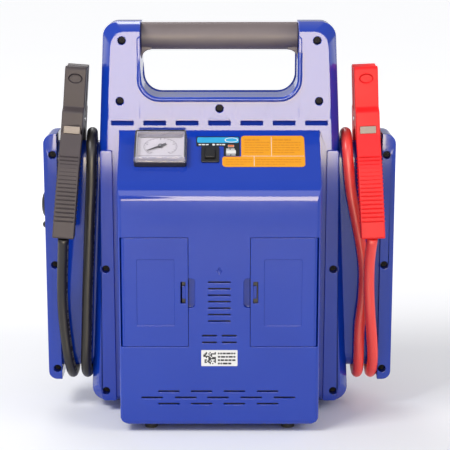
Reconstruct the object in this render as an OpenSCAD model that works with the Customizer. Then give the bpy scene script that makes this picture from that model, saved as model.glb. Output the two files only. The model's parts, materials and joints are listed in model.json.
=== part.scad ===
// Jump starter pack: a clamshell case with a carry handle, two batteries behind doors,
// a charge meter and test button, and two leads wound round side wings with their clamps.
// Millimetres. +X right, -Y front, +Z up; origin in the middle of the base on the ground.

/* [Case] */
// Height of the case from the ground to the top of the handle frame
case_h = 419.5; // [405:0.5:430]
// Half the width of the frame at its foot
foot_half_w = 140; // [138:0.5:141]
// Half the width of the frame at its top
top_half_w = 120.6; // [118:0.2:121]
// Depth of the handle frame, front to back
frame_d = 60; // [58:1:62]
// Depth of the whole case over both pods
case_d = 196; // [194:1:200]
// Wall of the moulded shells
wall = 3; // [2.6:0.1:3.2]
// Height of the case's underside over the ground
floor_gap = 7.5; // [7:0.5:8]

/* [Pods] */
// Half the width of a pod where it meets the frame
pod_half_w = 104.8; // [103.5:0.1:105]
// Height at which a pod's sloping top meets the frame
pod_top = 308; // [305:0.5:310]
// Slope of the pod's top panel, in degrees
slope = 36; // [35:0.5:37]

/* [Handle] */
// Half the width of the hand opening
hand_half_w = 82; // [80:0.5:84]
// Height of the hand opening's lower edge
hand_z = 342; // [340:0.5:345]
// Outer diameter of the soft grip
grip_d = 28.5; // [26:0.5:29]

/* [Wings] */
// Distance from the middle to the outer face of a wing
wing_x = 186; // [184:0.5:190]
// Half the thickness of the web that the lead is wound round
web_half_d = 19; // [18:0.5:19]
// Height of the web's top edge
web_top = 293; // [291:0.5:293]
// Height of the web's lower edge
web_foot = 44; // [44:0.5:46]

/* [Doors] */
// Clearance round each battery door
door_gap = 0.4; // [0.3:0.1:0.6]
// Height of a door's lower edge
door_z0 = 93.5; // [92:0.5:95]
// Height of a door's upper edge
door_z1 = 208; // [206:0.5:210]

/* [Leads and clamps] */
// Outer diameter of a lead
lead_d = 11.5; // [10:0.5:11.5]
// Width of the black clamp
black_clamp_w = 22.5; // [21:0.5:23]
// Width of the red clamp
red_clamp_w = 25; // [23:0.5:25]
// Height of the clamps' pivots
pivot_z = 317; // [316.5:0.1:318]

/* [Hidden] */

$fn = 48;
frame_y = frame_d / 2;
pod_y = case_d / 2;
pod_nose_half_w = pod_half_w - 1.5;
bevel_side = 8.5;            // inset of the frame's bevelled edge
bevel_depth = 13;            // how deep the bevel runs
nose_r = 24;                 // radius of a pod's upper front edge
pod_edge_r = 4.5;            // radius of a pod's upright edges
grip_z = case_h - 1 - grip_d / 2;
bar_d = 20;                  // core of the handle
bar_socket = 10;             // how far the core runs into the case
flange_x = 171.5;            // inner face of a wing's outer rim
flange_half_d = 21.5;
panel_len = (pod_y - frame_y) / cos(slope);
screw_head_d = 7.4;
screw_hole_d = 8.4;
screw_shank_d = 3.8;
screw_deep = 12;             // how deep a screw's head sits
screw_bite = 10;             // how far a screw runs into the rear half
// Screw places as [x, z, depth of the surface], the right half; the middle one is alone
screw_places = [
  [101, 401.5, frame_y], [103.8, 338.7, frame_y], [121.2, 159, frame_y + 2], [123, 23, frame_y + 2],
  [176.5, 280.5, flange_half_d], [176.5, 161, flange_half_d], [176.5, 45, flange_half_d]
];
middle_screw = [0, 331, frame_y];

black_pivot_x = -154.2;
black_lean = 4.3;
red_pivot_x = 155.4;
red_lean = -2.4;
hinge_x = 97.5;              // door hinge axis
hinge_y = 94.8;
knuckle_r = 2.8;
door_pin_d = 2;
door_x0 = 32;                // a door's free edge
battery = [181, 77, 167];
battery_y0 = 15;
battery_z0 = 12;
gland_z = 112;
gland_y = 52;
gland_end_x = 118;
battery_top = battery_z0 + battery[2];
slot_pitch = 33.8;           // spacing of the slots along the frame
meter_u = [-87.5, -33.5];    // the meter's sides, across the panel
meter_v = [-53, -11];        // the meter's lower and upper edges, up the panel
needle_c = [-60.5, -31];     // needle pivot, across and up the panel
needle_rest = 116;           // degrees from upright to the empty end of the scale
button_c = [-9.5, -36];      // middle of the test button, across and up the panel
lamps = [[12, -23.5, 6.4, 3], [12, -32, 10, 5]];  // indicator windows: middle across and up, width, height
socket_u = 30;               // power socket and charge inlet on the rear panel
inlet_u = -30;
socket_v = -36;
ear_r = 9;                   // radius of a clamp lever's ears
pin_d = 5;                   // clamp pivot pin
label_t = 0.25;              // thickness of a label

// The leads' routes, from the gland round the wing and up to the clamp
black_route = [
  [-118, 52, 112], [-126, 52, 110], [-134, 50, 103], [-140, 46, 92], [-143, 40, 79], [-145, 33, 68],
  [-145, 27, 58], [-145, 20, 45], [-145, 8, 37], [-145, -8, 37], [-145, -21, 46], [-144.5, -27, 62],
  [-143, -27, 95], [-141.5, -27, 135], [-139.5, -27, 175], [-137.5, -27, 215], [-135.5, -27, 248],
  [-134.5, -27, 274], [-134.5, -22, 290], [-135, -8.5, 300], [-136, 8.5, 300], [-137, 22, 290],
  [-138, 27, 274], [-140, 27, 240], [-144, 27, 200], [-150, 27, 160], [-156, 27, 120], [-159, 27, 88],
  [-160, 27, 62], [-160.5, 21, 46], [-161, 8, 37], [-161, -8, 37], [-161.5, -21, 46], [-163.5, -28, 62],
  [-166.5, -29, 90], [-168, -31, 120], [-167, -37, 150], [-165, -45, 176], [-163.2, -53, 198]
];
red_route = [
  [118, 52, 112], [126, 52, 110], [134, 50, 103], [141, 46, 92], [146, 40, 79], [149, 33, 68],
  [150, 27, 58], [150.5, 20, 45], [150.5, 8, 37], [150.5, -8, 37], [150.5, -21, 46], [150.5, -27, 62],
  [151, -27, 95], [154, -27, 125], [154.5, -27, 155], [151, -27, 183], [145, -27, 212],
  [139, -27, 243], [135.5, -27, 274], [134.5, -22, 290], [134.5, -8.5, 300], [134.5, 8.5, 300],
  [134.5, 22, 290], [134.5, 27, 274], [136, 27, 240], [139, 27, 205], [146, 27, 165], [155, 27, 125],
  [162, 27, 92], [164.6, 27, 62], [165.5, 21, 46], [165.5, 8, 37], [165.5, -8, 37], [165.5, -21, 46],
  [165.5, -29, 62], [163.5, -35, 85], [160.5, -40, 112], [158.5, -41, 145], [158.5, -44, 172],
  [160, -53, 198]
];

// ---- outlines ----
function unit(v) = v / norm(v);
function arc_corner(a, b, c, r, steps) =
  let (u = unit(a - b), w = unit(c - b), half = acos(u * w) / 2, mid = b + unit(u + w) * r / sin(half),
       p = b + u * r / tan(half), q = b + w * r / tan(half), a0 = atan2(p[1] - mid[1], p[0] - mid[0]),
       turn = atan2(q[1] - mid[1], q[0] - mid[0]) - a0,
       sweep = turn > 180 ? turn - 360 : turn < -180 ? turn + 360 : turn)
  [for (i = [0 : steps]) mid + r * [cos(a0 + sweep * i / steps), sin(a0 + sweep * i / steps)]];
// An outline from [x, y, radius] points, each corner rounded by its own radius
function rounded(pts, steps = 8) = [
  for (i = [0 : len(pts) - 1])
    let (n = len(pts), p = pts[i], a = pts[(i + n - 1) % n], c = pts[(i + 1) % n])
    each (p[2] > 0
      ? arc_corner([a[0], a[1]], [p[0], p[1]], [c[0], c[1]], p[2], steps)
      : [[p[0], p[1]]])
];
function box_pts(x0, y0, x1, y1, r) = [[x0, y0, r], [x1, y0, r], [x1, y1, r], [x0, y1, r]];

// An outline drawn in X and Z, made solid from y0 to y1
module upright(y0, y1) translate([0, y1, 0]) rotate([90, 0, 0]) linear_extrude(y1 - y0) children();
// An outline drawn in Y and Z, made solid from x0 to x1
module sideways(x0, x1) translate([x0, 0, 0]) rotate([90, 0, 90]) linear_extrude(x1 - x0) children();
module both_sides() { children(); mirror([1, 0, 0]) children(); }
// A rod along Y
module rod_y(x, z, d, y0, y1) translate([x, y1, z]) rotate([90, 0, 0]) cylinder(d = d, h = y1 - y0);
// A rod along X
module rod_x(y, z, d, x0, x1) translate([x0, y, z]) rotate([0, 90, 0]) cylinder(d = d, h = x1 - x0);
// The front pod's sloping panel: x across, y up the slope from the frame, z off the panel
module on_panel() translate([0, -frame_y, pod_top]) rotate([slope, 0, 0]) children();
module to_rear() rotate([0, 0, 180]) children();

// ---- case ----
module frame_outline(inset = 0) polygon(rounded([
  [-foot_half_w + inset, floor_gap + inset, 16], [foot_half_w - inset, floor_gap + inset, 16],
  [top_half_w - inset, case_h - inset, 15], [-top_half_w + inset, case_h - inset, 15]]));
// Half of the handle frame, with its front edge bevelled
module frame_half(inset, y1 = 0) hull() {
  upright(-frame_y + bevel_depth, y1) frame_outline(inset);
  upright(-frame_y + inset, -frame_y + inset + 1) frame_outline(bevel_side + inset);
}
module pod_side(inset) polygon(rounded([
  [-frame_y + bevel_depth, floor_gap + inset, 0], [-pod_y + inset, floor_gap + inset, 6],
  [-pod_y + inset, pod_top - (pod_y - frame_y) * tan(slope) - inset * 0.51, nose_r - inset],
  [-frame_y, pod_top - inset / cos(slope), 0],
  [-frame_y + bevel_depth, pod_top - inset / cos(slope), 0]], 6));
module pod_plan(inset) polygon(rounded([
  [-pod_half_w + inset, -frame_y + bevel_depth + 1, 0], [-pod_nose_half_w + inset, -pod_y + inset, pod_edge_r],
  [pod_nose_half_w - inset, -pod_y + inset, pod_edge_r], [pod_half_w - inset, -frame_y + bevel_depth + 1, 0]], 6));
module pod_front(inset) polygon(rounded([
  [-pod_half_w - 1 + inset, floor_gap + inset, 16], [pod_half_w + 1 - inset, floor_gap + inset, 16],
  [pod_half_w + 1 - inset, pod_top + 1, 0], [-pod_half_w - 1 + inset, pod_top + 1, 0]]));
module pod(inset = 0) intersection() {
  sideways(-pod_half_w - 2, pod_half_w + 2) pod_side(inset);
  translate([0, 0, 1]) linear_extrude(pod_top + 2) pod_plan(inset);
  upright(-pod_y - 1, -frame_y + bevel_depth) pod_front(inset);
}
// Half of one wing: a web with round ends and a rim at its outer edge
module wing_half() {
  sideways(foot_half_w - 14, flange_x + 2) polygon([
    for (a = [0 : 15 : 90]) [-web_half_d * sin(a), web_top - web_half_d + web_half_d * cos(a)],
    for (a = [90 : 15 : 180]) [-web_half_d * sin(a), web_foot + web_half_d + web_half_d * cos(a)]]);
  upright(-flange_half_d, 0) polygon(rounded([
    [flange_x, 33, 0], [wing_x, 33, 9], [wing_x, 303, 11], [flange_x, 303, 0]], 6));
}
// The hollows inside a wing, one in the web and one in the rim
module wing_hollow() {
  d = web_half_d - wall;
  sideways(foot_half_w + 4, flange_x - wall) polygon([[1, web_top - wall], [-d / 2, web_top - wall],
    [-d, web_top - web_half_d], [-d, web_foot + web_half_d], [-d / 2, web_foot + wall],
    [1, web_foot + wall]]);
  upright(-flange_half_d + wall, 1) polygon([[flange_x + wall, 38], [wing_x - wall, 38],
    [wing_x - wall, 296], [flange_x + wall, 296]]);
}
// Long raised pads beside the pod, with sloping tops
module ledges() both_sides() difference() {
  upright(-frame_y - 2.2, -12) polygon(rounded([
    [112, 12, 2], [127.5, 12, 4], [125, 287, 2], [112.7, 287, 2]]));
  translate([100, -frame_y - 2.2, 287]) rotate([-7, 0, 0]) translate([0, -20, -22]) cube([40, 20, 40]);
}
module hand_opening(grow = 0) upright(-frame_d, frame_d) polygon(rounded([
  [-hand_half_w - grow, hand_z - grow, 20 + grow], [hand_half_w + grow, hand_z - grow, 20 + grow],
  [hand_half_w + grow, case_h + 20, 0], [-hand_half_w - grow, case_h + 20, 0]]));
function boss_d(s) = s[2] < frame_y ? 11 : 13;
module at_screw(s) translate([s[0], -s[2], s[1]]) rotate([-90, 0, 0]) children();
// One half of the case, front half, with its bosses but none of its openings
module case_half() difference() {
  union() {
    difference() {
      union() {
        frame_half(0);
        pod();
        ledges();
        both_sides() wing_half();
        // raised lip round the hand opening
        upright(-frame_y - 1, -frame_y + 4) polygon(rounded([[-hand_half_w - 3, hand_z - 3, 23],
          [hand_half_w + 3, hand_z - 3, 23], [hand_half_w + 3, case_h - 14, 3],
          [-hand_half_w - 3, case_h - 14, 3]]));
      }
      difference() {
        union() {
          frame_half(wall, 1);
          pod(wall);
        }
        hand_opening(wall);
      }
      both_sides() wing_hollow();
    }
    // bosses for the screws
    for (s = screw_places) both_sides() rod_y(s[0], s[1], boss_d(s), -s[2] + 2, 0);
    rod_y(middle_screw[0], middle_screw[1], 13, -frame_y + 2, 0);
    // sockets that hold the handle's core
    both_sides() intersection() {
      rod_x(0, grip_z, bar_d + 6, hand_half_w + 1, hand_half_w + 3 + bar_socket);
      translate([hand_half_w, -20, grip_z - 20]) cube([20, 20, 40]);
    }
  }
  hand_opening();
  rod_x(0, grip_z, bar_d, -hand_half_w - bar_socket, hand_half_w + bar_socket);
}
module frame_slots() for (i = [-3 : 3]) translate([i * slot_pitch - 11.5, -frame_y - 5, 313.6])
  cube([23, 5 + wall + 6, 4.4]);
module vent(x, z, w, h) translate([x - w / 2, -pod_y - 5, z - h / 2]) cube([w, 5 + wall + 2, h]);
module pod_vents() {
  for (i = [0 : 6]) vent(0, 120.6 + i * 6.87, 23, 1.6);
  for (x = [-10.2, 10.2], z = [97.8, 105]) vent(x, z, 15, 1.8);
  for (x = [-52.5, -18.5, 15.5, 50]) { vent(x, 45, 22, 1.8); vent(x, 31.4, 22, 1.8); }
  for (x = [-70, -35, -1.5, 33, 67.6]) vent(x, 38.2, 22, 1.8);
}
module door_cut() both_sides() {
  translate([door_x0 - door_gap, -pod_y - 5, door_z0 - door_gap])
    cube([hinge_x + knuckle_r + 1 - door_x0 + door_gap, 5 + wall + 4, door_z1 - door_z0 + 2 * door_gap]);
}

module front_shell() color("#3446a5") difference() {
  union() {
    difference() {
      case_half();
      door_cut();
    }
    // hinge lugs above and below each door
    both_sides() for (z = [door_z0 - door_gap - 4, door_z1 + door_gap])
      translate([hinge_x - 4.5, -pod_y + 1.2, z]) cube([8, 8, 4]);
    // wall behind each finger recess
    both_sides() translate([23, -pod_y + 2, 132]) cube([8.5, 3.6, 36]);
  }
  both_sides() rod_z(hinge_x, -hinge_y, door_pin_d + 0.04, door_z0 - 3.4, door_z1 + 3.4);
  frame_slots();
  pod_vents();
  // finger recesses beside the door catches
  both_sides() upright(-pod_y - 1, -pod_y + 4.5) polygon(rounded(
    [[25, 134.6, 4], [33, 134.6, 0], [33, 165.7, 0], [25, 165.7, 4]]));
  // small moulded arrow mark
  upright(-pod_y - 1, -pod_y + 0.5) polygon([[-3, 174], [0, 170], [3, 174], [0.8, 174], [0.8, 177],
    [-0.8, 177], [-0.8, 174]]);
  // screw wells and holes
  for (s = screw_places) both_sides() at_screw(s) screw_well();
  at_screw(middle_screw) screw_well();
  on_panel() {
    translate([meter_u[0] + 2, meter_v[0] + 2, -8]) cube([50, 42, 12]);
    translate([button_c[0] - 6.6, button_c[1] - 8.6, -8]) cube([13.2, 17.2, 12]);
    for (l = lamps) lamp_box(l, -6, 4, 0.03);
  }
  at_feet(-1) translate([0, 0, floor_gap - 1]) cylinder(d = 5.04, h = 8);
}
module rod_z(x, y, d, z0, z1) translate([x, y, z0]) cylinder(d = d, h = z1 - z0);
module screw_well() {
  translate([0, 0, -1]) cylinder(d = screw_hole_d, h = screw_deep + 1);
  cylinder(d = screw_shank_d + 0.1, h = 40);
}
module at_feet(side) for (x = [-72, 72]) translate([x, side * 78, 0]) children();

module rear_shell() color("#33449f") difference() {
  to_rear() case_half();
  to_rear() {
    frame_slots();
    for (i = [0 : 9]) vent(0, 60 + i * 9, 120, 3);
  }
  // pilot holes for the screws
  for (s = screw_places) both_sides() rod_y(s[0], s[1], screw_shank_d + 0.1, -1, screw_bite + 3);
  rod_y(middle_screw[0], middle_screw[1], screw_shank_d + 0.1, -1, screw_bite + 3);
  at_feet(1) translate([0, 0, floor_gap - 1]) cylinder(d = 5.04, h = 8);
  to_rear() on_panel() {
    translate([socket_u, socket_v, -20]) cylinder(d = 27.04, h = 24);
    translate([inlet_u, socket_v, -20]) cylinder(d = 14.04, h = 24);
  }
  both_sides() rod_x(gland_y, gland_z, 16.04, pod_half_w - 8, pod_half_w + 6);
}

module handle_bar() color("#3a3a3c") rod_x(0, grip_z, bar_d - 0.04, -hand_half_w - bar_socket + 0.1,
  hand_half_w + bar_socket - 0.1);
module handle_grip() color("#5c504c") difference() {
  union() {
    rod_x(0, grip_z, grip_d, -hand_half_w + 0.1, hand_half_w - 0.1);
    // corner fillets under each end
    both_sides() upright(-9, 9) polygon([[hand_half_w - 0.1, grip_z - 6], [hand_half_w - 0.1, grip_z - 22],
      for (a = [0 : 15 : 90]) [hand_half_w - 10.1 + 10 * cos(a), grip_z - 24 + 10 * sin(a)],
      [hand_half_w - 12, grip_z - 6]]);
  }
  rod_x(0, grip_z, bar_d, -hand_half_w - 1, hand_half_w + 1);
}

module screw(depth) translate([0, 0, screw_deep - 2.6]) {
  difference() {
    cylinder(d = screw_head_d, h = 2.6);
    translate([-2.2, -0.5, -1]) cube([4.4, 1, 2.2]);
    translate([-0.5, -2.2, -1]) cube([1, 4.4, 2.2]);
  }
  cylinder(d = screw_shank_d, h = depth + screw_bite - screw_deep + 2.6);
}
module housing_screws() color("#b9bcc0") {
  for (s = screw_places) both_sides() at_screw(s) screw(s[2]);
  at_screw(middle_screw) screw(middle_screw[2]);
}
module rubber_feet() color("#1d1d1f") for (side = [-1, 1]) at_feet(side) {
  cylinder(d = 14, h = floor_gap);
  cylinder(d = 5, h = floor_gap + wall - 0.1);
}

// ---- doors ----
module door() {
  difference() {
    union() {
      translate([door_x0, -pod_y, door_z0]) cube([hinge_x - door_x0, 2.4, door_z1 - door_z0]);
      rod_z(hinge_x, -hinge_y, 2 * knuckle_r, door_z0, door_z1);
      translate([hinge_x - 5, -pod_y, door_z0]) cube([5, 4.6, door_z1 - door_z0]);
      // stiffening ribs behind the panel
      for (z = [door_z0 + 8, door_z1 - 10]) translate([door_x0 + 6, -pod_y, z])
        cube([hinge_x - door_x0 - 12, 4.4, 2]);
      translate([door_x0 + 6, -pod_y, door_z0 + 8]) cube([2, 4.4, door_z1 - door_z0 - 18]);
    }
    // shallow panel for a label
    upright(-pod_y - 1, -pod_y + 0.6) polygon(rounded(box_pts(46, 115.5, 84.5, 185.6, 1.5)));
    // slot round the catch
    upright(-pod_y - 1, -pod_y + 6) polygon(rounded(box_pts(34.6, 139.3, 39.9, 162.2, 1)));
    rod_z(hinge_x, -hinge_y, door_pin_d + 0.1, door_z0 - 1, door_z1 + 1);
  }
  // catch tongue inside the slot
  upright(-pod_y + 1.6, -pod_y + 3.4) polygon(rounded(box_pts(34.5, 144, 38.2, 157.5, 0.8)));
}
module left_door() color("#3446a5") mirror([1, 0, 0]) door();
module right_door() color("#3446a5") door();
module door_pins() color("#c2c4c8") both_sides() for (z = [door_z0 - 3.3, door_z1 - 9])
  rod_z(hinge_x, -hinge_y, door_pin_d, z, z + 12.3);

// ---- panel ----
module panel_box(u0, v0, u1, v1, n0, n1, r) translate([0, 0, n0]) linear_extrude(n1 - n0)
  polygon(rounded(box_pts(u0, v0, u1, v1, r)));
module meter_case() color("#1a1a1c") on_panel() difference() {
  union() {
    panel_box(meter_u[0], meter_v[0], meter_u[1], meter_v[1], 0, 6.5, 2.5);
    panel_box(meter_u[0] + 2.1, meter_v[0] + 2.1, meter_u[1] - 2.1, meter_v[1] - 2.1, -16, 1, 1.5);
  }
  difference() {
    panel_box(meter_u[0] + 4, meter_v[0] + 4, meter_u[1] - 4, meter_v[1] - 4, -14, 8, 1);
    // corner posts under the dial
    for (u = [meter_u[0] + 3.6, meter_u[1] - 7.6], v = [meter_v[0] + 3.6, meter_v[1] - 7.6])
      translate([u, v, -15]) cube([4, 4, 20.5]);
  }
}
module meter_cover() color("#e9eef0", 0.5) on_panel() difference() {
  union() {
    panel_box(meter_u[0] + 0.6, meter_v[0] + 0.6, meter_u[1] - 0.6, meter_v[1] - 0.6, 6.5, 13, 3);
    panel_box(meter_u[0], meter_v[0], meter_u[1], meter_v[1], 6.5, 7.5, 2.5);
  }
  panel_box(meter_u[0] + 2.4, meter_v[0] + 2.4, meter_u[1] - 2.4, meter_v[1] - 2.4, 6, 11.4, 2);
}
module meter_dial() color("#f4f0ee") on_panel() difference() {
  panel_box(meter_u[0] + 4.4, meter_v[0] + 4.4, meter_u[1] - 4.4, meter_v[1] - 4.4, 5.5, 6.5, 1);
  translate([needle_c[0], needle_c[1], 0]) cylinder(d = 4, h = 9);
}
module meter_movement() color("#8d8f92") on_panel() {
  translate([needle_c[0], needle_c[1], -10]) cylinder(d = 24, h = 11);
  translate([needle_c[0] - 16, needle_c[1] - 11, -14]) cube([32, 24, 4.5]);
  translate([needle_c[0], needle_c[1], 0]) cylinder(d = 2, h = 8.8);
}
module meter_needle() color("#222222") on_panel() translate([needle_c[0], needle_c[1], 0]) difference() {
  union() {
    translate([0, 0, 7]) cylinder(d = 4.4, h = 1.8);
    rotate([0, 0, needle_rest]) translate([0, 0, 7.6]) linear_extrude(0.6)
      polygon([[-1.3, -6.5], [1.3, -6.5], [0.3, 15], [-0.3, 15]]);
  }
  translate([0, 0, 5]) cylinder(d = 2.1, h = 6);
}
module button_bezel() color("#141416") on_panel() difference() {
  union() {
    panel_box(button_c[0] - 9.2, button_c[1] - 11, button_c[0] + 9.2, button_c[1] + 11, 0, 2, 1.5);
    panel_box(button_c[0] - 6.5, button_c[1] - 8.5, button_c[0] + 6.5, button_c[1] + 8.5, -10, 1, 0.5);
  }
  panel_box(button_c[0] - 5.3, button_c[1] - 7.3, button_c[0] + 5.3, button_c[1] + 7.3, -9, 3, 0.4);
}
module test_button() color("#0f0f10") on_panel()
  panel_box(button_c[0] - 5, button_c[1] - 7, button_c[0] + 5, button_c[1] + 7, -4, 5.2, 1);
module lamp_box(l, n0, n1, grow)
  panel_box(l[0] - l[2] / 2 - grow, l[1] - l[3] / 2 - grow, l[0] + l[2] / 2 + grow,
    l[1] + l[3] / 2 + grow, n0, n1, 0.6);
module indicator_leds() color("#e9e4da") on_panel() for (l = lamps) lamp_box(l, -5, 0.8, 0);
module control_label() color("#202326") on_panel() difference() {
  linear_extrude(label_t) polygon(rounded([[-24, -23.5, 1.5], [4.5, -23.5, 1], [4.5, -37.6, 1.5],
    [21, -37.6, 1.5], [21, -9, 1.5], [-24, -9, 1.5]]));
  for (l = lamps) lamp_box(l, -1, 2, 0.1);
}
module instruction_label() color("#fdb92a") on_panel() linear_extrude(label_t) polygon(rounded([
  [3, -53, 4], [88, -53, 4], [88, -8, 4], [22.5, -8, 4], [22.5, -38.4, 1], [3, -38.4, 3]]));
module id_label() color("#f2f1ee") upright(-pod_y - label_t, -pod_y) polygon(rounded(
  box_pts(-18.7, 72.5, 18.7, 89.7, 0.8)));

// ---- inside ----
module battery_block() translate([-battery[0] / 2, battery_y0, battery_z0]) cube(battery);
module front_battery() color("#2b2d30") mirror([0, 1, 0]) battery_block();
module rear_battery() color("#2b2d30") battery_block();
module battery_terminals() color("#b9b2a2") for (x = [-78, 78], y = [-28, 28])
  translate([x, y, battery_top]) difference() {
    union() {
      translate([-7, -7, 0]) cube([14, 14, 2]);
      translate([-6, -6, 0]) cube([12, 3, 14]);
    }
    translate([0, 5, 9]) rotate([90, 0, 0]) cylinder(d = 5.2, h = 20);
  }
// A copper bar from one terminal to the next
module series_link() color("#c9803e") translate([72, -30.8, battery_top + 2]) cube([12, 52.7, 2]);
// The fuse on its base, which bridges the two batteries
module main_fuse() color("#c8442c") translate([-20, -20, battery_top]) {
  cube([40, 40, 3]);
  translate([0, 12, 3]) cube([40, 16, 12]);
  for (x = [-8, 40]) translate([x, 17, 0]) cube([8, 6, 2]);
}
module charger_board() color("#2f6b3c") translate([-10, 38, battery_top]) {
  for (x = [4, 74], y = [4, 42]) translate([x, y, 0]) cylinder(d = 5, h = 6.5);
  translate([0, 0, 6]) cube([78, 46, 1.6]);
  translate([8, 8, 7]) cube([26, 30, 16]);
  for (x = [46, 63]) translate([x, 22, 7]) cylinder(d = 14, h = 20);
}
module transformer() color("#7c6a55") translate([-74, 36, battery_top]) {
  cube([56, 46, 44]);
  translate([8, -7, 6]) cube([40, 7, 32]);
}
module foam_pads() color("#3d3d40") for (side = [-1, 1])
  translate([-85, side * 53.5 - 35, floor_gap + wall]) cube([170, 70, 1.5]);
module battery_divider() color("#d8d6cf") {
  for (y = [-15, 12]) translate([-88, y, floor_gap + wall]) cube([176, 3, 154]);
  for (x = [-60, -1, 58]) translate([x, -12, floor_gap + wall]) cube([2, 24, 154]);
}
module charge_inlet() color("#19191b") to_rear() on_panel() translate([inlet_u, socket_v, 0]) difference() {
  union() {
    cylinder(d = 18, h = 2);
    translate([0, 0, -16]) cylinder(d = 14, h = 17);
  }
  translate([0, 0, -12]) cylinder(d = 5.6, h = 20);
}
module power_socket() color("#19191b") to_rear() on_panel() translate([socket_u, socket_v, 0]) {
  difference() {
    union() {
      cylinder(d = 34, h = 3);
      translate([0, 0, -30]) cylinder(d = 27, h = 31);
    }
    translate([0, 0, -27]) cylinder(d = 21, h = 40);
  }
  // ears and pin for the cap's hinge
  for (x = [-7, 4.2]) translate([x, 15.2, 0]) cube([2.8, 8.8, 6.4]);
  translate([-6, 20.5, 4]) rotate([0, 90, 0]) cylinder(d = 2, h = 12);
}
module socket_cap() color("#222224") to_rear() on_panel() translate([socket_u, socket_v, 0]) {
  translate([0, 0, 3.2]) cylinder(d = 30, h = 2.8);
  difference() {
    union() {
      translate([-3.6, 12, 3.2]) cube([7.2, 8.5, 2.8]);
      translate([-3.6, 20.5, 4]) rotate([0, 90, 0]) cylinder(d = 4, h = 7.2);
    }
    translate([-5, 20.5, 4]) rotate([0, 90, 0]) cylinder(d = 2.1, h = 10);
  }
}

// ---- leads ----
// A round tube along a route: its rings stand square to the route
function way(p, i) = unit(i == 0 ? [p[1][0] - p[0][0], 0, 0] : i == len(p) - 1 ? p[i] - p[i - 1]
  : unit(p[i + 1] - p[i]) + unit(p[i] - p[i - 1]));
function rings(p, r, sides, i = 0, side = [0, 0, 1]) = i == len(p) ? [] :
  let (t = way(p, i), s = unit(side - (side * t) * t), u = cross(t, s))
  concat([for (k = [0 : sides - 1]) p[i] + r * (cos(360 * k / sides) * s + sin(360 * k / sides) * u)],
    rings(p, r, sides, i + 1, s));
module tube(p, d, sides = 12) {
  n = len(p);
  polyhedron(points = rings(p, d / 2, sides), faces = concat(
    [[for (k = [0 : sides - 1]) k]],
    [for (i = [0 : n - 2], k = [0 : sides - 1]) let (a = i * sides + k, b = i * sides + (k + 1) % sides)
      each [[a, a + sides, b], [b, a + sides, b + sides]]],
    [[for (k = [sides - 1 : -1 : 0]) (n - 1) * sides + k]]));
}
module gland() difference() {
  union() {
    rod_x(gland_y, gland_z, 16, pod_half_w - 6, pod_half_w + 1);
    rod_x(gland_y, gland_z, 20, pod_half_w - 0.4, pod_half_w + 4);
    translate([pod_half_w + 4, gland_y, gland_z]) rotate([0, 90, 0])
      cylinder(d1 = 18, d2 = lead_d + 2, h = gland_end_x - pod_half_w - 4);
  }
}
module black_gland() color("#1c1c1e") mirror([1, 0, 0]) gland();
module red_gland() color("#1c1c1e") gland();
module black_lead() color("#4a423f") tube(black_route, lead_d);
module red_lead() color("#f0453f") tube(red_route, lead_d);

// ---- clamps: x across, y front to back, z up from the pivot ----
module at_black() translate([black_pivot_x, 0, pivot_z]) rotate([0, black_lean, 0]) children();
module at_red() translate([red_pivot_x, 0, pivot_z]) rotate([0, red_lean, 0]) children();
module lever_side() polygon(rounded([
  [-3.2, -10, 3], [-3.2, 55, 1.5], [-16.5, 57, 4], [-18, 14, 2], [-25.5, 10, 3], [-28, -14, 3],
  [-41, -47, 30], [-55, -98, 20], [-60, -119, 2], [-46, -119, 2], [-41, -94, 20], [-27.5, -40, 12],
  [-22, -25, 8], [-11, -14, 4]], 5));
// The inner parts of a lever: cut narrower round the other lever's ears
module lever_body(w) difference() {
  sideways(-w / 2, w / 2) lever_side();
  // oval recess near the tip
  upright(-22, -16.2) translate([0, 44]) scale([1.5, 1]) circle(d = 9);
}
module front_lever(w) difference() {
  union() {
    lever_body(w);
    for (x = [-w / 2, w / 2 - 3.6]) rod_x(0, 0, 2 * ear_r, x, x + 3.6);
    for (x = [-w / 2, w / 2 - 3.6]) translate([x, -12, -ear_r]) cube([3.6, 12, 2 * ear_r]);
  }
  rod_x(0, 0, pin_d + 0.04, -w, w);
  // room for the rear lever's ears and the spring
  rod_x(0, 0, 2 * ear_r + 1.2, -w / 2 + 3.6, w / 2 - 3.6);
  // window over the metal strap
  translate([-8.6, -40, -13]) cube([17.2, 15.2, 8]);
}
module rear_lever(w) {
  difference() {
    mirror([0, 1, 0]) lever_body(w);
    for (x = [-w / 2 - 1, w / 2 - 3.9]) rod_x(0, 0, 2 * ear_r + 1, x, x + 4.9);
    rod_x(0, 0, 2 * ear_r + 1.2, -w / 2 + 7.4, w / 2 - 7.4);
  }
  difference() {
    union() for (x = [-w / 2 + 4, w / 2 - 7]) {
      rod_x(0, 0, 2 * ear_r - 1, x, x + 3);
      translate([x, 0, -8]) cube([3, 14, 16]);
    }
    rod_x(0, 0, pin_d + 0.1, -w, w);
  }
}
// A metal jaw plate with a row of teeth
module jaw() sideways(-8, 8) polygon([[-3.1, 11], [-3.1, 53.5], [-0.4, 53.5],
  for (i = [0 : 7]) each [[-0.4, 52 - i * 4], [-1.6, 50 - i * 4]], [-1.6, 11]]);
module pivot_pin(w) rod_x(0, 0, pin_d, -w / 2 - 0.6, w / 2 + 0.6);
module spring() {
  for (i = [-1 : 1]) translate([i * 1.8, 0, 0]) rotate([0, 90, 0]) rotate_extrude()
    translate([4, 0]) circle(d = 1.6, $fn = 16);
  for (x = [-1.8, 1.8]) translate([x, 0, 0]) spring_leg(x);
}
module spring_leg(x) rotate([x > 0 ? -154 : 154, 0, 0]) translate([0, x > 0 ? 4 : -4, 0])
  cylinder(d = 1.4, h = 20, $fn = 16);
// The bright cable strap, on the bottom of the lever's window
module strap() translate([-8.4, -26, -12.8]) cube([16.8, 1.2, 7.6]);

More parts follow.
